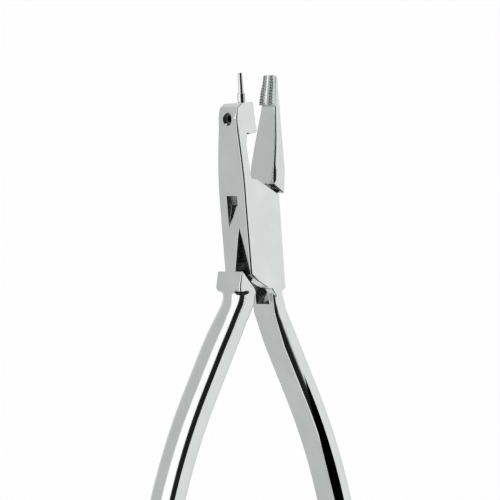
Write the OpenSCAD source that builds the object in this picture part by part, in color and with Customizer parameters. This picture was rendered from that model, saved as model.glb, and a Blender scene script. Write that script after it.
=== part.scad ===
// Crimping pliers: two forged halves on a box joint, a replaceable crimping pin
// clamped by a set screw in one jaw, and a toothed pad facing it on the other jaw.
// The pliers lie flat: X is the opening direction, +Y runs to the tips, +Z is up.
// The pivot axis is at X = Y = 0 and the lower cheek face lies on Z = 0.
// Every outline is drawn with the jaws closed. Each half is then turned by rest_angle.

/* [Overall] */
// Length of the closed pliers, tip to handle end
total_l = 140; // [135:1:145]
// Angle by which each half is turned open in the stored pose, in degrees
rest_angle = 6; // [5:0.5:8]

/* [Box joint] */
// Thickness over both cheeks
box_t = 9.3; // [9:0.1:10]
// Distance from the pivot to the outer edge of the cheeks
cheek_x = 4.95; // [4.8:0.05:5.1]
// Thickness of the web that runs between the cheeks
web_t = 3.6; // [3.2:0.1:4]
// Side play of the web in its slot, on each face
web_play = 0.05; // [0.03:0.01:0.1]
// Radius of the pivot pin
pivot_r = 2; // [1.6:0.1:2.2]
// Radial running clearance of the pivot pin in the web
pivot_play = 0.03; // [0.02:0.01:0.08]

/* [Jaws] */
// Height of the jaw tips above the pivot
tip_y = 37.2; // [36.8:0.1:37.6]
// Height of the pin block's top above the pivot
block_top_y = 30.6; // [30.2:0.1:31]
// Height of the pin block's underside above the pivot
block_low_y = 23.9; // [23.5:0.1:24.3]
// Reach of the pin block past the closing line
nose_x = 1.05; // [1:0.05:1.2]
// Radius of the block's outer top corner
block_r = 2.4; // [1.5:0.1:3]
// Thickness of the pin block
block_t = 6.5; // [6:0.1:7]
// Thickness of the beak at its tip
beak_tip_t = 3.5; // [3.3:0.1:4]

/* [Crimping pin] */
// Radius of the pin's shank in the block
pin_r = 0.6; // [0.5:0.05:0.65]
// Radius of the collar that sits on the block
pin_collar_r = 0.9; // [0.8:0.05:0.95]
// Height of the collar above the block
pin_collar_l = 2.1; // [1.6:0.1:2.5]
// Radius of the pin's free end
pin_tip_r = 0.54; // [0.4:0.02:0.6]
// Height of the pin's free end above the collar
pin_tip_l = 4.7; // [4:0.1:5]
// Lean of the pin towards the pad, in degrees
pin_tilt = 2; // [0:0.5:3]

/* [Set screw] */
// Radius of the screw's thread
screw_r = 1.5; // [1.25:0.05:1.55]
// Width across the flats of the hexagon socket
socket_af = 1.5; // [1.3:0.1:1.5]
// Depth of the screw's outer end below the jaw's edge
screw_sunk = 0.6; // [0.6:0.1:1.3]

/* [Toothed pad] */
// Thickness of the pad, tooth tips included
pad_t = 0.9; // [0.7:0.05:0.95]
// Spacing of the teeth
tooth_pitch = 0.65; // [0.6:0.05:0.8]
// Width of the pad at its base
pad_low_w = 4.9; // [4.6:0.1:5]

/* [Handles] */
// Width of the handles in the opening direction
handle_w = 5.2; // [4.8:0.1:5.4]
// Thickness of the handles
handle_t = 8; // [7.6:0.1:8.4]
// Rounding of the handles' long edges
handle_r = 1.5; // [1:0.1:1.8]
// Distance from the centre line to the parallel grips
grip_x = 21; // [19:0.5:23]
// Angle at which the outer half's handle leaves the joint, in degrees
outer_splay = 21.5; // [20:0.5:22]
// Angle at which the inner half's handle leaves the joint, in degrees
inner_splay = 21.5; // [21:0.5:23]

/* [Hidden] */
$fn = 64;
eps = 0.01;
mid_z = box_t / 2;
slot_t = web_t + 2 * web_play;
beyond = 40;

// The outer half's block, neck and cheeks
neck_x = -2.45;
notch_x = -1.7;
notch_y = block_low_y - 0.4;
relief_r = 0.35;
relief_deep = 1.2;
nose_r = 0.35;
nose_lean = 0.25;
cheek_top_in = [-0.8, 13.05];
cheek_top_out = [5.5, 8.8];
cheek_low_in = [0.9, -12.5];
cheek_low_out = [5.3, -12.7];
lobe_tip = [2.3, -14.6];
throat_r = 0.5;
outer_stations = [[-20, box_t], [10.5, box_t], [13.5, box_t - 0.2], [18, 8.4], [22.3, 7.4],
    [25.5, block_t], [40, block_t]];

// The inner half's beak, web, collar and waist
beak_face_x = 1.85;
shoulder_out = [5, 10.2];
shoulder_in = [1.5, 12.2];
collar_t = box_t - 0.6;
collar_top = [-5.6, -8.8];
collar_in = [-1.3, -12.4];
beak_stations = [[5, box_t - 0.1], [12, box_t - 0.1], [16.3, 8.4], [22.2, 7.3], [29.6, 5],
    [tip_y, beak_tip_t], [45, beak_tip_t]];

// The handles: straight from the root, then bent back until they run parallel
root_y = -17.4;
bend_y = -38;
handle_end_y = tip_y - total_l;
outer_root_x = 3.4;
inner_root_x = 3.8;
bend_steps = 7;
bend_lap = 0.15;

// The crimping pin and its bore, leaning by pin_tilt about the block's top
pin_x = 0.2;
pin_bore_l = 6;
pin_play = 0.03;
screw_y = 27.1;
screw_outer_x = -4.35 + screw_sunk;
screw_tip_gap = 0.05;
thread_play = 0.03;

// The toothed pad
pad_low_y = 30.3;
pad_face_x = beak_face_x - pad_t;
tooth_h = 0.3;
groove_r = pin_collar_r + 0.15;
tip_groove_r = pin_r + 0.15;
groove_step_y = 33.6;
groove_deep = 0.35;
tooth_count = ceil((tip_y - pad_low_y) / tooth_pitch);

// Points of an arc about c, from angle a0 to a1 in n steps
function arc(c, r, a0, a1, n) =
    [for (i = [0:n]) let (a = a0 + (a1 - a0) * i / n) c + r * [cos(a), sin(a)]];

// Outline of a slab from [length position, thickness] stations, in length and height
function slab_outline(stations) = concat(
    [for (s = stations) [s[0], s[1] / 2]],
    [for (i = [len(stations) - 1:-1:0]) [stations[i][0], -stations[i][1] / 2]]);

// Block, neck and cheeks of the outer half, seen from above
outer_plan = concat(
    [[-cheek_x, -8.5], [-0.25, -12.2], cheek_low_in, lobe_tip, cheek_low_out],
    [cheek_top_out + [-0.35, -21.2], cheek_top_out, cheek_top_in],
    arc([neck_x + throat_r + 0.05, 13.75], throat_r, 232, 180, 6),
    [[neck_x, 21], [notch_x, notch_y]],
    arc([nose_x + nose_lean - nose_r, block_low_y + nose_r], nose_r, -90, 0, 3),
    arc([nose_x - nose_r, block_top_y - nose_r], nose_r, 0, 90, 3),
    arc([-4.25 + block_r, block_top_y - block_r], block_r, 90, 180, 8),
    [[-4.78, 17.9], [-cheek_x, 8]]);

// Straight stub between the cheeks and the rounded handle of the outer half
outer_root_plan = [[0.4, -11.5], [0.6, -15], [0.45, root_y], [outer_root_x, root_y - 1.2],
    [5.7, root_y], [4.7, -13.9], [3, -11.5]];

// The gap between the cheeks, seen from above; it has a closed end on each half
slot_plan = [[-8, 9], [-4.2, 9.6], [-0.5, 13.4], [1, 16], [8, 16],
    [8, -9], [4.2, -9.6], [2.5, -11.4], [2.4, -14.8], [1.3, -16], [-8, -16]];

// Taper that opens the gap towards the collar, as [length position, gap] stations
relief_stations = [[-20, slot_t + 3.4], [-8.5, slot_t + 3.4], [1, slot_t]];

// Beak of the inner half
beak_plan = [shoulder_in, [1.5, 16.3], [beak_face_x - 0.05, 22.2], [beak_face_x + 0.05, 29.6],
    [beak_face_x, pad_low_y], [beak_face_x, tip_y], [2.45, tip_y], [3.58, 29.7],
    [3.95, 24.7], [4.5, 20.1], [5.04, 15.6], shoulder_out];

// Web of the inner half; it crosses the joint from the beak down to the collar
web_plan = [[-5.5, -8.9], [-5.47, -1.5], [-5.35, 1], [-5.1, 3.6], [-5, 6.3],
    [1.3, 12], [1.9, 14], [4.5, 14], shoulder_out, [5, 2], [4.45, -3.65], [3.84, -6.5],
    [-1.3, -12], [-1.9, -14], [-4.5, -14]];

// Collar and waist of the inner half, down to the rounded handle
collar_plan = concat(
    [collar_top, collar_in, [-1.15, -15.2], [-0.95, root_y], [-inner_root_x, root_y - 1.2]],
    [[-5.75, root_y]],
    arc([-6.2, -15.3], 1.9, -60, 42, 6),
    [[-5.5, -13.1], [-5.8, -9.4]]);

// A flat plate with the given outline, centred on the mid-plane
module plate(outline, t) {
    translate([0, 0, mid_z - t / 2]) linear_extrude(t) polygon(outline);
}

// A slab across the pliers whose thickness follows the stations along Y
module slab(stations) {
    translate([-beyond / 2, 0, mid_z])
        rotate([90, 0, 90]) linear_extrude(beyond) polygon(slab_outline(stations));
}

// Cross-section of a handle: a rectangle with round corners
module handle_section() {
    corner = [handle_w / 2 - handle_r, handle_t / 2 - handle_r];
    polygon([for (q = [0:3]) let (sx = q == 0 || q == 3 ? 1 : -1, sy = q < 2 ? 1 : -1)
        each arc([sx * corner.x, sy * corner.y], handle_r, 90 * q, 90 * q + 90, 4)]);
}

// A straight stretch of handle, running along -Y and a little past both ends
module handle_bar(l, lap) {
    translate([0, lap, 0]) rotate([90, 0, 0]) linear_extrude(l + 2 * lap) handle_section();
}

// A handle on the +X side: a straight leg, a bend back to parallel, and a grip
module handle(root_x, splay) {
    straight_l = (root_y - bend_y) / cos(splay);
    bend_x = root_x + straight_l * sin(splay);
    bend_r = (grip_x - bend_x) / (1 - cos(splay));
    grip_y = bend_y - bend_r * sin(splay);
    step = splay / bend_steps;
    centre = [grip_x - bend_r, grip_y];
    translate([root_x, root_y, mid_z]) rotate(splay) handle_bar(straight_l, bend_lap);
    for (i = [0:bend_steps - 1]) let (a = splay - i * step)
        translate([centre.x + bend_r * cos(a), centre.y + bend_r * sin(a), mid_z])
            rotate(a - step / 2) handle_bar(2 * bend_r * sin(step / 2), bend_lap);
    translate([grip_x, grip_y, mid_z]) handle_bar(grip_y - handle_end_y - bend_lap, bend_lap);
}

// What is cut away to round the end of the grip on the given side
module grip_end_cut(side) {
    r = handle_w / 2 + 0.25;
    round_y = handle_end_y + r;
    for (s = [-1, 1])
        plate(concat([[side * grip_x, handle_end_y - 1], [side * grip_x + s * (r + 1), handle_end_y - 1],
                [side * grip_x + s * (r + 1), round_y]],
            arc([side * grip_x, round_y], r, s < 0 ? 180 : 0, s < 0 ? 270 : -90, 10)), handle_t + 1);
}

// Places its children at the pin's bore mouth, with their +Z along the pin
module along_pin() {
    translate([pin_x, block_top_y, mid_z]) rotate([-90, 0, -pin_tilt]) children();
}

// Places its children on the set screw's axis, with their +Z pointing into the jaw
module along_screw(x) {
    translate([x, screw_y, mid_z]) rotate([0, 90, 0]) children();
}

// Wedge that thins both cheeks from inside, at their edge next to the collar
module collar_relief() {
    translate([-beyond / 2 - cheek_x + relief_deep, 0, 0]) slab(relief_stations);
}

module outer_half() {
    color([0.75, 0.77, 0.76]) rotate(rest_angle) difference() {
        union() {
            intersection() {
                plate(outer_plan, box_t);
                slab(outer_stations);
            }
            plate(outer_root_plan, handle_t);
            handle(outer_root_x, outer_splay);
        }
        plate(slot_plan, slot_t);
        collar_relief();
        grip_end_cut(1);
        translate([0, 0, -1]) cylinder(h = box_t + 2, r = pivot_r);
        translate([notch_x, notch_y - 0.05, -1]) cylinder(h = box_t + 2, r = relief_r);
        along_pin() translate([0, 0, -pin_bore_l]) cylinder(h = pin_bore_l + 2, r = pin_r + pin_play);
        along_screw(-6) cylinder(h = 6 + pin_x, r = screw_r + thread_play);
    }
}

module inner_half() {
    color([0.72, 0.74, 0.73]) rotate(-rest_angle) difference() {
        union() {
            intersection() {
                plate(beak_plan, box_t);
                slab(beak_stations);
            }
            plate(web_plan, web_t);
            plate(collar_plan, collar_t);
            translate([0, 0, box_t]) rotate([0, 180, 0]) handle(inner_root_x, inner_splay);
        }
        grip_end_cut(-1);
        translate([0, 0, -1]) cylinder(h = box_t + 2, r = pivot_r + pivot_play);
    }
}

module pivot_pin() {
    color([0.68, 0.7, 0.7]) cylinder(h = box_t, r = pivot_r);
}

module crimp_pin() {
    shank_l = pin_bore_l - 0.3;
    color([0.6, 0.61, 0.62]) rotate(rest_angle) along_pin() {
        translate([0, 0, -shank_l]) cylinder(h = shank_l + eps, r = pin_r);
        cylinder(h = pin_collar_l, r = pin_collar_r);
        translate([0, 0, pin_collar_l - eps])
            cylinder(h = pin_tip_l + eps, r1 = pin_r, r2 = pin_tip_r);
    }
}

module set_screw() {
    tip_x = pin_x - (block_top_y - screw_y) * tan(pin_tilt) - pin_r - screw_tip_gap;
    socket_l = 1.1;
    tip_l = 0.6;
    body_l = tip_x - screw_outer_x - tip_l;
    color([0.25, 0.26, 0.28]) rotate(rest_angle) along_screw(screw_outer_x) difference() {
        union() {
            cylinder(h = body_l, r = screw_r);
            translate([0, 0, body_l - eps]) cylinder(h = tip_l + eps, r1 = screw_r, r2 = 0.8);
        }
        translate([0, 0, -eps]) cylinder(h = socket_l, r = socket_af / sqrt(3), $fn = 6);
    }
}

// Long square bar turned on edge, for cutting a V groove of depth tooth_h along Z
module v_cut(l) {
    cube_w = tooth_h * sqrt(2);
    translate([0, 0, -l / 2]) linear_extrude(l) rotate(45) square(cube_w, center = true);
}

module toothed_pad() {
    pad_stations = [[pad_low_y - 1, pad_low_w + 0.2], [pad_low_y, pad_low_w],
        [tip_y, beak_tip_t - 0.1], [tip_y + 2, beak_tip_t - 0.4]];
    pad_plan = [[beak_face_x, pad_low_y], [beak_face_x, tip_y], [pad_face_x, tip_y],
        [pad_face_x, pad_low_y]];
    color([0.66, 0.68, 0.67]) rotate(-rest_angle) difference() {
        intersection() {
            plate(pad_plan, box_t);
            slab(pad_stations);
        }
        translate([pad_face_x + groove_deep - groove_r, pad_low_y + 0.5, mid_z])
            rotate([-90, 0, 0]) cylinder(h = groove_step_y - pad_low_y - 0.5, r = groove_r);
        translate([pad_face_x + groove_deep - tip_groove_r, 0, mid_z])
            rotate([-90, 0, 0]) cylinder(h = beyond + pad_low_y, r = tip_groove_r);
        for (i = [0:tooth_count - 1])
            translate([pad_face_x, pad_low_y + (i + 0.5) * tooth_pitch, mid_z]) v_cut(pad_low_w + 2);
        for (side = [-1, 1], k = [0:1])
            translate([pad_face_x, pad_low_y + 3.5, mid_z + side * (1.25 + k * tooth_pitch)])
                rotate([90, 0, 0]) v_cut(beyond / 2);
    }
}

outer_half();
inner_half();
pivot_pin();
crimp_pin();
set_screw();
toothed_pad();
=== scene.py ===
import math

import bmesh
import bpy
from mathutils import Matrix, Vector


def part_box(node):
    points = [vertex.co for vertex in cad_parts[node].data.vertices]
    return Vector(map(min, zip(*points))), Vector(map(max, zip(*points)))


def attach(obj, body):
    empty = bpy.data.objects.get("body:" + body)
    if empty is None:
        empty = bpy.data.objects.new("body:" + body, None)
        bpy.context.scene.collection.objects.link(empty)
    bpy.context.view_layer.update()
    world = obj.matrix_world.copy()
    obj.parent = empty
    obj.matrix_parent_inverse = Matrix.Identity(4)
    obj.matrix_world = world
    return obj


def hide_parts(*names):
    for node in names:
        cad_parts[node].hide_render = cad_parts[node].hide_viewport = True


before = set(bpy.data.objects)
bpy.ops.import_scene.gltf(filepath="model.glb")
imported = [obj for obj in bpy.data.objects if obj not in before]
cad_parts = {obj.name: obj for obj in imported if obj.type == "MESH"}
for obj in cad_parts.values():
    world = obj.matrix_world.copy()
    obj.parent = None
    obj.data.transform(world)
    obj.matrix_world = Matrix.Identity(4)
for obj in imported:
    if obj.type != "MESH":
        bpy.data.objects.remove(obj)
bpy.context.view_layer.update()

# ---------------------------------------------------------------- units and driving dimensions
MM = 0.001
MID_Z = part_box("pivot_pin")[1].z / MM / 2       # mid-plane of the pliers, in millimetres
HALF_T = MID_Z                                  # half the thickness of the box joint
REST = 6.0                                      # each half is turned open by this, in degrees
TIP_Y = 37.2                                    # jaw tips above the pivot
END_Y = TIP_Y - 140.0                           # handle ends
BLOCK_TOP = 30.6
BLOCK_LOW = 23.9
SLOT_HALF = 1.85                                # half the gap between the cheeks
WEB_HALF = 1.8
PIVOT_R = 2.0
PIVOT_PLAY = 0.03                               # clearance of the web on the rivet
COLLAR_HALF_T = 4.35
HANDLE_W = 5.2
HANDLE_HALF_T = 4.0
ROOT_Y = -17.4
BEND_Y = -38.0
GRIP_X = 21.0
CROWN_X = 1.7                                   # rounding of the handles' outer side, in plan
CROWN_Z = 2.9                                   # and through their thickness
INNER_X = 1.9                                   # rounding of the handles' inner side, in plan
INNER_Z = 0.7                                   # and through their thickness
FAR = 40.0                                      # past the pliers on every side
FLOOR_Z = -0.1                                  # the floor lies well below the pliers, in metres


# ---------------------------------------------------------------- camera
VIEW_TILT = math.radians(40)                    # the camera leans this far to the pliers' left
VIEW_WIDTH = 115.0                              # width of the view at the pliers
AIM_RIGHT = -0.345                              # the view's centre, from the pivot
AIM_UP = -3.45
DISTANCE = 900.0                                # from the camera to the pliers
SENSOR_WIDTH = 36.0


def make_camera():
    right = Vector((math.cos(VIEW_TILT), 0, math.sin(VIEW_TILT)))
    up = Vector((0, 1, 0))
    back = right.cross(up)
    aim = Vector((0, 0, MID_Z)) + right * AIM_RIGHT + up * AIM_UP
    data = bpy.data.cameras.new("camera")
    data.sensor_width = SENSOR_WIDTH
    data.lens = SENSOR_WIDTH * DISTANCE / VIEW_WIDTH
    data.clip_start = 0.01
    camera = bpy.data.objects.new("camera", data)
    turn = Matrix((right, up, back)).transposed().to_4x4()
    camera.matrix_world = Matrix.Translation((aim + back * DISTANCE) * MM) @ turn
    bpy.context.scene.collection.objects.link(camera)
    bpy.context.scene.camera = camera


make_camera()


# ---------------------------------------------------------------- outlines
def corner(x, y, fillet=0.0, round_x=0.35, round_z=None):
    """One corner of an outline: its plan fillet, and how the edge above and below it is rounded."""
    return (x, y, fillet, round_x, round_x if round_z is None else round_z)


def filleted(corners, steps=6):
    """The outline with each corner that has a fillet replaced by an arc."""
    out = []
    n = len(corners)
    for i, (x, y, r, rx, rz) in enumerate(corners):
        p = Vector((x, y))
        a = Vector(corners[i - 1][:2]) - p
        b = Vector(corners[(i + 1) % n][:2]) - p
        angle = a.angle(b)
        if r <= 0 or angle > math.radians(177):
            out.append((x, y, rx, rz))
            continue
        cut = min(r / math.tan(angle / 2), 0.45 * a.length, 0.45 * b.length)
        r = cut * math.tan(angle / 2)
        middle = (a.normalized() + b.normalized()).normalized()
        centre = p + middle * (r / math.sin(angle / 2))
        start = p + a.normalized() * cut - centre
        end = p + b.normalized() * cut - centre
        sweep = start.angle_signed(end)
        for k in range(steps + 1):
            q = start.copy()
            q.rotate(Matrix.Rotation(-sweep * k / steps, 2))
            out.append((centre.x + q.x, centre.y + q.y, rx, rz))
    return out


def spline(corners, step=0.3):
    """A smooth run through the given corners, from the first to the last."""
    out = []
    padded = [corners[0]] + list(corners) + [corners[-1]]
    for a, b, c, d in zip(padded, padded[1:], padded[2:], padded[3:]):
        count = max(1, round(math.dist(b[:2], c[:2]) / step))
        for k in range(count):
            t = k / count
            out.append(tuple(0.5 * (2 * q + (r - p) * t + (2 * p - 5 * q + 4 * r - s) * t ** 2
                                    + (3 * q - p - 3 * r + s) * t ** 3)
                             for p, q, r, s in zip(a, b, c, d)))
    return out + [corners[-1]]


def refined(points, step=0.3):
    """Extra points where the edge rounding changes, so that it runs out smoothly."""
    out = []
    n = len(points)
    for i, p in enumerate(points):
        q = points[(i + 1) % n]
        out.append(p)
        change = abs(p[2] - q[2]) + abs(p[3] - q[3])
        length = math.dist(p[:2], q[:2])
        count = math.ceil(length / step) if change > 0.12 else 1
        for k in range(1, count):
            t = k / count
            ease = t * t * (3 - 2 * t)
            out.append((p[0] + (q[0] - p[0]) * t, p[1] + (q[1] - p[1]) * t,
                        p[2] + (q[2] - p[2]) * ease, p[3] + (q[3] - p[3]) * ease))
    return out


def inset(points, share):
    """Every outline point moved inwards by share of its own edge rounding."""
    n = len(points)
    moved = []
    for i, (x, y, rx, rz) in enumerate(points):
        p = Vector((x, y))
        a = (p - Vector(points[i - 1][:2])).normalized()
        b = (Vector(points[(i + 1) % n][:2]) - p).normalized()
        na = Vector((-a.y, a.x))
        nb = Vector((-b.y, b.x))
        q = p + (na + nb) / (1 + na.dot(nb)) * (rx * share)
        moved.append(q)
    return moved


def smooth_half_t(stations, spread=1.6):
    """Half thickness along the length, eased between [position, half thickness] stations."""
    def at(y):
        if y <= stations[0][0]:
            return stations[0][1]
        for (y0, t0), (y1, t1) in zip(stations, stations[1:]):
            if y <= y1:
                return t0 + (t1 - t0) * (y - y0) / (y1 - y0)
        return stations[-1][1]

    def eased(y, taps=9):
        return sum(at(y + spread * (2 * k / (taps - 1) - 1)) for k in range(taps)) / taps
    return eased


# ---------------------------------------------------------------- mesh building
def rounded_plate(name, corners, half_t, cuts=(), rings=6, only_caps=False):
    """A plate with the given outline, rounded edges, and a thickness that follows half_t(y).
    It is divided at the cuts, or only its flat faces are."""
    points = refined(filleted(corners))
    base = 4.0              # half thickness while it is built, replaced by half_t at the end
    bm = bmesh.new()
    loops = []
    for k in range(rings + 1):
        phi = math.pi / 2 * k / rings
        flat = inset(points, 1 - math.cos(phi))
        zs = [base - rz * (1 - math.sin(phi)) for (_, _, _, rz) in points]
        loops.append([(q.x, q.y, z) for q, z in zip(flat, zs)])
    stack = [[(x, y, -z) for x, y, z in ring] for ring in reversed(loops)] + loops
    rows = [[bm.verts.new(v) for v in ring] for ring in stack]
    n = len(points)
    for low, high in zip(rows, rows[1:]):
        for i in range(n):
            j = (i + 1) % n
            bm.faces.new((low[i], low[j], high[j], high[i]))
    bm.faces.new(rows[-1])
    bm.faces.new(list(reversed(rows[0])))
    for y in cuts:
        faces = bm.faces[:]
        if only_caps:
            faces = [f for f in faces if all(abs(v.co.z) > base - 1e-6 for v in f.verts)]
        edges = list(dict.fromkeys(e for f in faces for e in f.edges))
        verts = list(dict.fromkeys(v for f in faces for v in f.verts))
        bmesh.ops.bisect_plane(bm, geom=verts + edges + faces,
                               plane_co=(0, y, 0), plane_no=(0, 1, 0), dist=1e-5)
    for v in bm.verts:
        v.co.z += (half_t(v.co.y) - base) * math.copysign(1, v.co.z)
    bmesh.ops.triangulate(bm, faces=[f for f in bm.faces if len(f.verts) > 4])
    bmesh.ops.recalc_face_normals(bm, faces=bm.faces[:])
    return to_object(name, bm)


def to_object(name, bm):
    mesh = bpy.data.meshes.new(name)
    bm.to_mesh(mesh)
    bm.free()
    obj = bpy.data.objects.new(name, mesh)
    bpy.context.scene.collection.objects.link(obj)
    return obj


def prism(name, outline, z0, z1):
    """A sharp-edged prism, used as a cutter."""
    bm = bmesh.new()
    low = [bm.verts.new((x, y, z0)) for x, y in outline]
    high = [bm.verts.new((x, y, z1)) for x, y in outline]
    n = len(outline)
    for i in range(n):
        j = (i + 1) % n
        bm.faces.new((low[i], low[j], high[j], high[i]))
    bm.faces.new(high)
    bm.faces.new(list(reversed(low)))
    bmesh.ops.recalc_face_normals(bm, faces=bm.faces[:])
    return to_object(name, bm)


def lathe(name, profile, steps=48):
    """A solid of revolution about Z from (radius, height) points, closed on the axis."""
    bm = bmesh.new()
    rings = []
    for r, z in profile:
        if r < 1e-6:
            rings.append([bm.verts.new((0, 0, z))])
        else:
            rings.append([bm.verts.new((r * math.cos(2 * math.pi * k / steps),
                                        r * math.sin(2 * math.pi * k / steps), z))
                          for k in range(steps)])
    for a, b in zip(rings, rings[1:]):
        for k in range(steps):
            m = (k + 1) % steps
            if len(a) == 1:
                bm.faces.new((a[0], b[m], b[k]))
            elif len(b) == 1:
                bm.faces.new((a[k], a[m], b[0]))
            else:
                bm.faces.new((a[k], a[m], b[m], b[k]))
    bmesh.ops.recalc_face_normals(bm, faces=bm.faces[:])
    return to_object(name, bm)


def through_hole(name, r, steps, x=0.0, y=0.0):
    """Cutter for a hole right through the pliers, or for a groove where it only meets an edge."""
    hole = lathe(name, [(0, -FAR), (r, -FAR), (r, FAR), (0, FAR)], steps)
    return placed(hole, Matrix.Translation((x, y, 0)))


def placed(obj, matrix):
    obj.data.transform(matrix)
    return obj


def combine(base, other, operation):
    """Boolean of two objects; the other one is used up."""
    modifier = base.modifiers.new("cut", "BOOLEAN")
    modifier.object = other
    modifier.operation = operation
    modifier.solver = "MANIFOLD"
    settle(base)
    bpy.data.objects.remove(other)
    return base


def settle(obj):
    """Applies the object's modifiers to its mesh."""
    graph = bpy.context.evaluated_depsgraph_get()
    mesh = bpy.data.meshes.new_from_object(obj.evaluated_get(graph))
    old = obj.data
    obj.modifiers.clear()
    obj.data = mesh
    bpy.data.meshes.remove(old)


def keep_planes_flat(obj, least=12.0 * MM * MM):
    """Flat shading for every plane larger than least, so that no curved edge shows in it."""
    bm = bmesh.new()
    bm.from_mesh(obj.data)
    planes = {}
    keys = {}
    for face in bm.faces:
        n = face.normal
        key = (round(n.x, 3), round(n.y, 3), round(n.z, 3), round(n.dot(face.verts[0].co) / MM, 2))
        keys[face] = key
        planes[key] = planes.get(key, 0.0) + face.calc_area()
    level = {face for face, key in keys.items() if planes[key] > least}
    for face in level:
        face.smooth = False
    for edge in bm.edges:
        if len(edge.link_faces) == 2 and sum(f in level for f in edge.link_faces) == 1:
            if edge.calc_face_angle() > math.radians(2):
                edge.smooth = False
    bm.to_mesh(obj.data)
    bm.free()


def finished(obj, degrees, sharp=32):
    """Turns a half open, lifts it to its height, scales it to metres and sets its shading."""
    bm = bmesh.new()
    bm.from_mesh(obj.data)
    bmesh.ops.remove_doubles(bm, verts=bm.verts[:], dist=1e-4)
    bmesh.ops.dissolve_degenerate(bm, edges=bm.edges[:], dist=1e-4)
    bm.to_mesh(obj.data)
    bm.free()
    obj.data.transform(Matrix.Rotation(math.radians(degrees), 4, "Z"))
    obj.data.transform(Matrix.Translation((0, 0, MID_Z)))
    obj.data.transform(Matrix.Scale(MM, 4))
    obj.data.shade_smooth()
    obj.data.set_sharp_from_angle(angle=math.radians(sharp))
    keep_planes_flat(obj)
    weighted = obj.modifiers.new("weighted_normals", "WEIGHTED_NORMAL")
    weighted.mode = "FACE_AREA"
    weighted.weight = 100
    weighted.keep_sharp = True
    return obj


# ---------------------------------------------------------------- the handles
SHANK_STEPS = 8                                 # steps along the straight part
BEND_STEPS = 24                                 # round the bend
END_STEPS = 16                                  # round the end
SLIM_RUN = 9.0                                  # length over which a slim root widens
EDGE_RUN = 6.0                                  # length over which the edges round off
EDGE_LEAST = 0.4                                # share of the rounding left at the root


def handle_centre(root_x, splay):
    """Points of a handle's centre line with their direction angles, on the +X side."""
    a = math.radians(splay)
    path = []
    length = (ROOT_Y - BEND_Y) / math.cos(a)
    for k in range(SHANK_STEPS):
        s = length * k / SHANK_STEPS
        path.append((root_x + s * math.sin(a), ROOT_Y - s * math.cos(a), a))
    bend_x = root_x + length * math.sin(a)
    radius = (GRIP_X - bend_x) / (1 - math.cos(a))
    grip_y = BEND_Y - radius * math.sin(a)
    for k in range(BEND_STEPS + 1):
        t = a * (1 - k / BEND_STEPS)
        path.append((GRIP_X - radius + radius * math.cos(t), grip_y + radius * math.sin(t), t))
    return path


def handle_corners(root_x, splay, slim, skip, full_y):
    """Inner edge down, round end, outer edge up, for a handle on the +X side.
    slim is how much narrower the outer edge is at the root, skip leaves out the first points,
    and the edges have their full rounding below full_y."""
    path = handle_centre(root_x, splay)[skip:]
    half = HANDLE_W / 2
    inner, outer = [], []
    for x, y, t in path:
        side = Vector((math.cos(t), math.sin(t)))
        near_root = max(0.0, 1 - (ROOT_Y - y) / SLIM_RUN)
        ease = min(1.0, max(EDGE_LEAST, 1 - (y - full_y) / EDGE_RUN))
        p = Vector((x, y)) - side * half
        inner.append(corner(p.x, p.y, 0, INNER_X * ease, INNER_Z * ease))
        q = Vector((x, y)) + side * (half - slim * near_root)
        outer.append(corner(q.x, q.y, 0, CROWN_X * ease, CROWN_Z * ease))
    end = []
    centre_y = END_Y + half
    for k in range(1, END_STEPS):
        t = math.pi * k / END_STEPS
        mix = 0.5 - 0.5 * math.cos(t)
        end.append(corner(GRIP_X - half * math.cos(t), centre_y - half * math.sin(t), 0,
                          INNER_X + (CROWN_X - INNER_X) * mix, INNER_Z + (CROWN_Z - INNER_Z) * mix))
    return inner + end + list(reversed(outer))


def mirrored(corners):
    return [(-x, y, r, rx, rz) for x, y, r, rx, rz in reversed(corners)]


# ---------------------------------------------------------------- outer half
OUTER_STATIONS = ((-20, HALF_T), (10.5, HALF_T), (13.5, HALF_T - 0.1), (18, 4.2), (22.3, 3.7),
                  (25.5, 3.25), (40, 3.25))
PIN_X = 0.2
PIN_TILT = 2.0
PIN_R = 0.6
PIN_PLAY = 0.03
SCREW_Y = 27.1
SCREW_SUNK = 0.6
JAW_EDGE_X = -4.35                              # the jaw's edge where the set screw goes in
THREAD_PITCH = 0.4
NOTCH_X = -1.6                                  # the rounded notch under the pin block
NOTCH_Y = 23.4
NOTCH_R = 0.42
POCKET_HALF = 2.3
RELIEF_DEEP = 1.7                               # how far the relief thins each cheek


def along_pin():
    return (Matrix.Translation((PIN_X, BLOCK_TOP, 0))
            @ Matrix.Rotation(math.radians(-PIN_TILT), 4, "Z")
            @ Matrix.Rotation(math.radians(-90), 4, "X"))


def along_screw(x):
    return Matrix.Translation((x, SCREW_Y, 0)) @ Matrix.Rotation(math.radians(90), 4, "Y")


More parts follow.
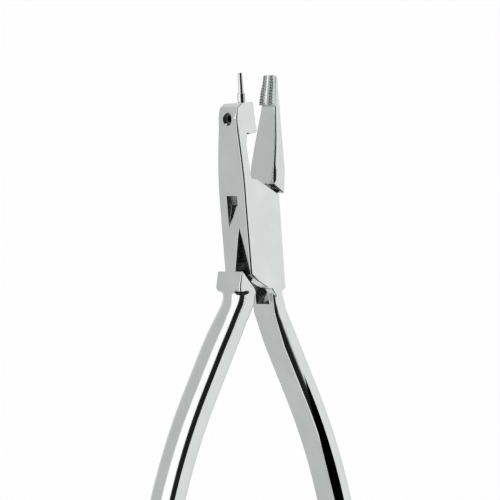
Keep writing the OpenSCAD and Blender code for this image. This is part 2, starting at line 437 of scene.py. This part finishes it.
def outer_head():
    edge, edge_z = 0.45, 0.22
    corners = [
        corner(-4.95, -8.5, 0.5, edge, edge_z), corner(-3.05, -10.3, 2, 0.3, 0.2),
        corner(-0.25, -12.2, 1, 0.25),
        corner(0.9, -12.5, 0.6, 0.25), corner(2.3, -14.6, 0.3, 0.12), corner(5.3, -12.6, 0.5, 0.25),
        corner(5.15, -12.0, 0.3, 0.35), corner(5.5, 8.8, 0.4, 0.35), corner(-0.8, 13.05, 1, 0.3),
        corner(-2.3, 13.3, 0.5, 0.3), corner(-2.42, 15.8, 1, 0.35), corner(-2.45, 21, 2, 0.35),
        corner(-1.75, 23.2, 0.2, 0.25), corner(1.3, BLOCK_LOW - 0.3, 0.4, 0.3),
        corner(1.05, BLOCK_TOP - 0.05, 0.4, 0.3), corner(-2.2, BLOCK_TOP, 2, 0.12),
        corner(-3.75, 29.75, 1.5, 0.12), corner(-4.45, 27.4, 2.5, 0.3, 0.2),
        corner(-4.6, 24, 4, edge, edge_z),
        corner(-4.8, 17.9, 4, edge, edge_z), corner(-4.95, 8, 0, edge, edge_z)]
    cuts = [10 + 0.75 * k for k in range(27)]
    return rounded_plate("outer_half_body", corners, smooth_half_t(OUTER_STATIONS), cuts)


def outer_handle():
    corners = [corner(2.6, -10.8, 0, 0.3), corner(1.65, -11.3, 0, 0.3),
               corner(1.7, -15.5, 2, 0.6, 0.4),
               corner(1.9, -18.2, 4, 1.0, 0.5), corner(2.7, -21.2, 6, 1.4, 0.6)]
    corners += handle_corners(3.5, 21.6, 0.0, 3, -24)
    corners += [corner(6.2, -17.8, 4, 1.5, 2.2), corner(5.3, -15.6, 1.5, 0.8, 1.2),
                corner(4.5, -13.4, 0.5, 0.4), corner(4.2, -10.8, 0, 0.3)]
    return rounded_plate("outer_handle", corners, lambda y: HANDLE_HALF_T)


def slot_cutter():
    outline = [(-8, 9), (-4.2, 9.6), (-0.5, 13.4), (1, 16), (8, 16),
               (8, -9), (4.2, -9.6), (2.5, -11.4), (2.5, -13.4), (-1, -16), (-8, -16)]
    return prism("slot", outline, -SLOT_HALF, SLOT_HALF)


def pocket_cutter():
    """Milled pocket in the handle root, where the gap between the cheeks runs out."""
    outline = [(-1, -11.5), (-1, -16.3), (1.6, -16.3), (2.2, -15.8), (2.7, -15.1), (3.1, -14.2),
               (3.4, -13), (3.4, -11.5)]
    return prism("pocket", outline, -POCKET_HALF, POCKET_HALF)


def relief_cutter():
    """Wedge that thins both cheeks from inside, at their edge next to the collar."""
    wide = SLOT_HALF + RELIEF_DEEP
    outline = [(1, SLOT_HALF), (-8.5, wide), (-20, wide), (-20, -wide), (-8.5, -wide),
               (1, -SLOT_HALF)]
    cutter = prism("relief", outline, -FAR, -3.75)
    turn = Matrix(((0, 0, 1, 0), (1, 0, 0, 0), (0, 1, 0, 0), (0, 0, 0, 1)))
    return placed(cutter, turn)


def thread_cutter():
    """The set screw's hole: a countersunk mouth and the grooves of its thread."""
    profile = [(0, -2), (1.56, -2), (1.56, 0.02), (1.5, 0.1)]
    z = 0.25
    while z < 4.2:
        profile += [(1.42, z), (1.54, z + THREAD_PITCH / 2)]
        z += THREAD_PITCH
    profile += [(1.4, 4.4), (0, 4.7)]
    return placed(lathe("thread", profile), along_screw(-4.4))


def outer_half():
    half = combine(outer_head(), outer_handle(), "UNION")
    half = combine(half, slot_cutter(), "DIFFERENCE")
    half = combine(half, relief_cutter(), "DIFFERENCE")
    half = combine(half, pocket_cutter(), "DIFFERENCE")
    bore = lathe("bore", [(0, -6), (PIN_R + PIN_PLAY, -6), (PIN_R + PIN_PLAY, -0.15),
                          (PIN_R + 0.2, 0.1), (PIN_R + 0.2, 1), (0, 1)])
    half = combine(half, placed(bore, along_pin()), "DIFFERENCE")
    half = combine(half, thread_cutter(), "DIFFERENCE")
    half = combine(half, through_hole("groove", NOTCH_R, 24, NOTCH_X, NOTCH_Y), "DIFFERENCE")
    half = combine(half, through_hole("rivet_seat", PIVOT_R, 96), "DIFFERENCE")
    half.name = "outer_half_piece"
    return finished(half, REST)


# ---------------------------------------------------------------- inner half
BEAK_STATIONS = ((5, 4.6), (12, 4.6), (16.3, 4.2), (22.2, 3.65), (29.6, 2.5), (TIP_Y, 1.75),
                 (45, 1.1))
SEAM_X = 1.86                                   # the joint line under the toothed pad
SEAM_Y = 30.18
SEAM_R = 0.14
WHEEL_R = 0.6
WHEEL_HALF_W = 3.0


def beak():
    corners = [
        corner(1.5, 11.9, 0.1, 0.25), corner(5.0, 9.95, 0.3, 0.3), corner(5.04, 15.6, 4, 0.6, 0.4),
        corner(4.5, 20.1, 4, 0.6), corner(3.95, 24.7, 4, 0.5), corner(3.58, 29.7, 6, 0.5),
        corner(2.45, TIP_Y, 0.3, 0.3), corner(1.85, TIP_Y, 0, 0.12), corner(1.85, 30.3, 0, 0.12),
        corner(1.92, 29.6, 2, 0.3, 0.2), corner(1.8, 22.2, 4, 0.4, 0.25),
        corner(1.55, 17.0, 2, 0.5, 0.3), corner(1.5, 14.6, 0, 0.85, 0.5),
        corner(1.5, 12.9, 0, 0.9, 0.6)]
    cuts = [11 + 0.75 * k for k in range(35)]
    return rounded_plate("inner_half_body", corners, smooth_half_t(BEAK_STATIONS), cuts)


def web():
    corners = [
        corner(-5.5, -9.4, 0, 0.1), corner(-4.5, -14, 0, 0.1), corner(-1.9, -14, 0, 0.1),
        corner(-1.3, -12, 0, 0.1), corner(3.84, -6.5, 1, 0.15), corner(4.45, -3.65, 2, 0.15),
        corner(5, 2, 3, 0.15), corner(4.9, 10.4, 0, 0.15), corner(4.5, 14, 0, 0.1),
        corner(1.9, 14, 0, 0.1), corner(1.4, 12.1, 0, 0.15), corner(-5.0, 6.3, 0.4, 0.12),
        corner(-5.1, 3.6, 3, 0.12), corner(-5.35, 1, 3, 0.12), corner(-5.47, -1.5, 3, 0.12),
        corner(-5.47, -8.0, 1, 0.12)]
    return rounded_plate("web", corners, lambda y: WEB_HALF)


def inner_handle():
    left = mirrored(handle_corners(3.75, 21.2, 0.5, 1, -15))
    corners = [corner(-5.55, -8.7, 0.25, 0.22), corner(-5.85, -12.75, 0.4, 0.35, 0.3),
               corner(-5.5, -13.4, 0.3, 0.4, 0.35)]
    corners += spline([corner(x, y, 0, CROWN_X, CROWN_Z)
                       for x, y in ((-5.3, -14.0), (-5.25, -14.8), (-5.55, -16.3))] + left[:2])
    corners += left[2:]
    corners += [corner(-0.9, -18.0, 3, 1.5, 0.6), corner(-0.1, -15.4, 1.5, 0.8, 0.5),
                corner(-0.6, -13.4, 1, 0.4), corner(-1.3, -12.4, 0.4, 0.3)]
    thick = smooth_half_t(((-40, HANDLE_HALF_T), (-23, HANDLE_HALF_T), (-18, 3.6), (-14.5, 3.5),
                           (-13.3, COLLAR_HALF_T), (0, COLLAR_HALF_T)), 0.5)
    cuts = [-24 + 0.8 * k for k in range(8)] + [-17.6 + 0.25 * k for k in range(20)]
    return rounded_plate("inner_handle", corners, thick, cuts, rings=9, only_caps=True)


def run_out_cutter():
    """The scoop a grinding wheel leaves where the crowned handle ends at the collar."""
    wheel = lathe("run_out", [(0, -WHEEL_HALF_W), (WHEEL_R, -WHEEL_HALF_W),
                              (WHEEL_R, WHEEL_HALF_W), (0, WHEEL_HALF_W)], 48)
    lean = Matrix.Rotation(math.radians(REST), 4, "Z") @ Matrix.Translation((-6.35, -13.3, 3.1))
    return placed(wheel, lean @ Matrix.Rotation(math.radians(50), 4, "Y"))


def inner_half():
    half = combine(beak(), web(), "UNION")
    half = combine(half, inner_handle(), "UNION")
    half = combine(half, through_hole("bore", PIVOT_R + PIVOT_PLAY, 96), "DIFFERENCE")
    half = combine(half, run_out_cutter(), "DIFFERENCE")
    half = combine(half, through_hole("seam", SEAM_R, 16, SEAM_X, SEAM_Y), "DIFFERENCE")
    half.name = "inner_half_piece"
    return finished(half, -REST)


# ---------------------------------------------------------------- pin and screw
def crimp_pin():
    profile = [(0, -5.7), (0.5, -5.7), (PIN_R, -5.6), (PIN_R, 0), (0.82, 0), (0.9, 0.08),
               (0.9, 1.95), (0.8, 2.1), (0.66, 2.16), (0.62, 2.25), (PIN_R, 2.4), (0.55, 6.6),
               (0.5, 6.74), (0.38, 6.8), (0, 6.8)]
    pin = lathe("crimp_pin_piece", profile, 64)
    return finished(placed(pin, along_pin()), REST)


def set_screw():
    tip = 3.1
    profile = [(0, 0), (1.2, 0), (1.42, 0.2)]
    z = 0.2
    while z < tip - 0.9:
        profile += [(1.32, z + THREAD_PITCH / 2), (1.46, z + THREAD_PITCH)]
        z += THREAD_PITCH
    profile += [(0.8, tip - 0.06), (0.7, tip), (0, tip)]
    screw = lathe("set_screw_piece", profile, 64)
    socket = lathe("socket", [(0, -1), (0.87, -1), (0.87, 1.1), (0, 1.4)], 6)
    screw = combine(screw, socket, "DIFFERENCE")
    return finished(placed(screw, along_screw(JAW_EDGE_X + SCREW_SUNK)), REST)


# ---------------------------------------------------------------- materials
CLOUD_SCALE = 160                               # slow drift of the colour
LINE_SCALE = 2500                               # fine grinding lines
LINE_DEPTH = 0.000004                           # their depth, in metres


def steel(name, color, rough, grain=0.25, streak=(1, 1, 1)):
    """Polished steel: colour and gloss drift slowly, fine grinding lines run along the tool."""
    material = bpy.data.materials.new(name)
    material.use_nodes = True
    nodes = material.node_tree.nodes
    links = material.node_tree.links
    shader = nodes["Principled BSDF"]
    shader.inputs["Metallic"].default_value = 1.0
    place = nodes.new("ShaderNodeTexCoord")

    cloud = nodes.new("ShaderNodeTexNoise")
    cloud.inputs["Scale"].default_value = CLOUD_SCALE
    cloud.inputs["Detail"].default_value = 4
    links.new(place.outputs["Object"], cloud.inputs["Vector"])
    tint = nodes.new("ShaderNodeValToRGB")
    tint.color_ramp.elements[0].position = 0.3
    tint.color_ramp.elements[0].color = [c * 0.93 for c in color] + [1]
    tint.color_ramp.elements[1].position = 0.7
    tint.color_ramp.elements[1].color = list(color) + [1]
    links.new(cloud.outputs["Fac"], tint.inputs["Fac"])
    links.new(tint.outputs["Color"], shader.inputs["Base Color"])

    stretch = nodes.new("ShaderNodeMapping")
    stretch.inputs["Scale"].default_value = streak
    links.new(place.outputs["Object"], stretch.inputs["Vector"])
    lines = nodes.new("ShaderNodeTexNoise")
    lines.inputs["Scale"].default_value = LINE_SCALE
    lines.inputs["Detail"].default_value = 3
    links.new(stretch.outputs["Vector"], lines.inputs["Vector"])
    gloss = nodes.new("ShaderNodeMapRange")
    gloss.inputs["To Min"].default_value = rough * 0.8
    gloss.inputs["To Max"].default_value = rough * 1.3
    links.new(lines.outputs["Fac"], gloss.inputs["Value"])
    links.new(gloss.outputs["Result"], shader.inputs["Roughness"])
    bump = nodes.new("ShaderNodeBump")
    bump.inputs["Strength"].default_value = grain
    bump.inputs["Distance"].default_value = LINE_DEPTH
    links.new(lines.outputs["Fac"], bump.inputs["Height"])
    links.new(bump.outputs["Normal"], shader.inputs["Normal"])
    return material


def dress(obj, material):
    obj.data.materials.clear()
    obj.data.materials.append(material)


def dress_frame_node(name, material):
    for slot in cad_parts[name].material_slots:
        slot.material = material


# ---------------------------------------------------------------- stage and light
FLOOR_SIZE = 3
FLOOR_GREY = 0.25
GLOW_SPAN = 0.2                                 # the floor's glow changes within this of the pivot
# Brightness of the floor by its distance across X from the pivot, in metres
FLOOR_GLOW = ((-0.2, 1.75), (-0.135, 1.75), (-0.115, 0.74), (-0.04, 0.74), (0, 0.88))
# Brightness of the tent by the angle from straight up towards +X, in degrees
TENT_LIGHT = ((-180, 0.95), (-100, 1.8), (-66, 1.8), (-60, 0.02), (28, 0.02), (33, 1.3),
              (80, 1.2), (180, 0.95))


def set_ramp(node, low, high, stops):
    """Grey stops of a colour ramp, given as [value between low and high, grey]."""
    elements = node.color_ramp.elements
    while len(elements) < len(stops):
        elements.new(0.5)
    for element, (value, grey) in zip(elements, stops):
        element.position = (value - low) / (high - low)
        element.color = (grey, grey, grey, 1)


def make_floor():
    bm = bmesh.new()
    bmesh.ops.create_grid(bm, x_segments=1, y_segments=1, size=FLOOR_SIZE)
    bmesh.ops.translate(bm, verts=bm.verts[:], vec=(0, 0, FLOOR_Z))
    floor = to_object("floor", bm)
    material = bpy.data.materials.new("floor")
    material.use_nodes = True
    nodes = material.node_tree.nodes
    links = material.node_tree.links
    shader = nodes["Principled BSDF"]
    shader.inputs["Base Color"].default_value = (FLOOR_GREY, FLOOR_GREY, FLOOR_GREY, 1)
    shader.inputs["Roughness"].default_value = 0.9
    shader.inputs["Specular IOR Level"].default_value = 0.1
    place = nodes.new("ShaderNodeTexCoord")
    parts = nodes.new("ShaderNodeSeparateXYZ")
    links.new(place.outputs["Object"], parts.inputs["Vector"])
    reach = nodes.new("ShaderNodeMapRange")
    reach.inputs["From Min"].default_value = -GLOW_SPAN
    reach.inputs["From Max"].default_value = GLOW_SPAN
    links.new(parts.outputs["X"], reach.inputs["Value"])
    glow = nodes.new("ShaderNodeValToRGB")
    set_ramp(glow, -GLOW_SPAN, GLOW_SPAN, FLOOR_GLOW)
    links.new(reach.outputs["Result"], glow.inputs["Fac"])
    links.new(glow.outputs["Color"], shader.inputs["Emission Color"])
    shader.inputs["Emission Strength"].default_value = 1
    floor.data.materials.append(material)


def make_light():
    """A light tent: bright on both sides and below, with a dark gap overhead."""
    world = bpy.data.worlds.new("tent")
    world.use_nodes = True
    bpy.context.scene.world = world
    nodes = world.node_tree.nodes
    links = world.node_tree.links
    place = nodes.new("ShaderNodeTexCoord")
    parts = nodes.new("ShaderNodeSeparateXYZ")
    links.new(place.outputs["Generated"], parts.inputs["Vector"])
    angle = nodes.new("ShaderNodeMath")
    angle.operation = "ARCTAN2"
    links.new(parts.outputs["X"], angle.inputs[0])
    links.new(parts.outputs["Z"], angle.inputs[1])
    ramp = nodes.new("ShaderNodeMapRange")
    ramp.inputs["From Min"].default_value = -math.pi
    ramp.inputs["From Max"].default_value = math.pi
    links.new(angle.outputs["Value"], ramp.inputs["Value"])
    band = nodes.new("ShaderNodeValToRGB")
    set_ramp(band, -180, 180, TENT_LIGHT)
    links.new(ramp.outputs["Result"], band.inputs["Fac"])
    links.new(band.outputs["Color"], nodes["Background"].inputs["Color"])
    nodes["Background"].inputs["Strength"].default_value = 1.0


make_floor()
make_light()
bpy.context.scene.view_settings.view_transform = "Standard"

# ---------------------------------------------------------------- the pieces
OUTER_STEEL = steel("outer_steel", (0.55, 0.575, 0.565), 0.13, streak=(1, 0.06, 1))
INNER_STEEL = steel("inner_steel", (0.54, 0.565, 0.555), 0.13, streak=(1, 0.06, 1))
PIVOT_STEEL = steel("pivot_steel", (0.55, 0.575, 0.565), 0.13, streak=(1, 0.06, 1))
PIN_STEEL = steel("pin_steel", (0.5, 0.51, 0.52), 0.2, streak=(1, 0.2, 1))
# The set screw is coloured near black: painted shade, so that the hole at the jaw's edge reads dark
# inside.
SCREW_PAINTED_SHADE = steel("screw_steel", (0.08, 0.085, 0.09), 0.35)
PAD_STEEL = steel("pad_steel", (0.52, 0.54, 0.53), 0.25)

outer = outer_half()
dress(outer, OUTER_STEEL)
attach(outer, "outer_half_body")
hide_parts("outer_half")

inner = inner_half()
dress(inner, INNER_STEEL)
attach(inner, "inner_half_body")
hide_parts("inner_half")

pin = crimp_pin()
dress(pin, PIN_STEEL)
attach(pin, "crimp_pin_body")
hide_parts("crimp_pin")

screw = set_screw()
dress(screw, SCREW_PAINTED_SHADE)
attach(screw, "set_screw_body")
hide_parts("set_screw")

dress_frame_node("pivot_pin", PIVOT_STEEL)
dress_frame_node("toothed_pad", PAD_STEEL)
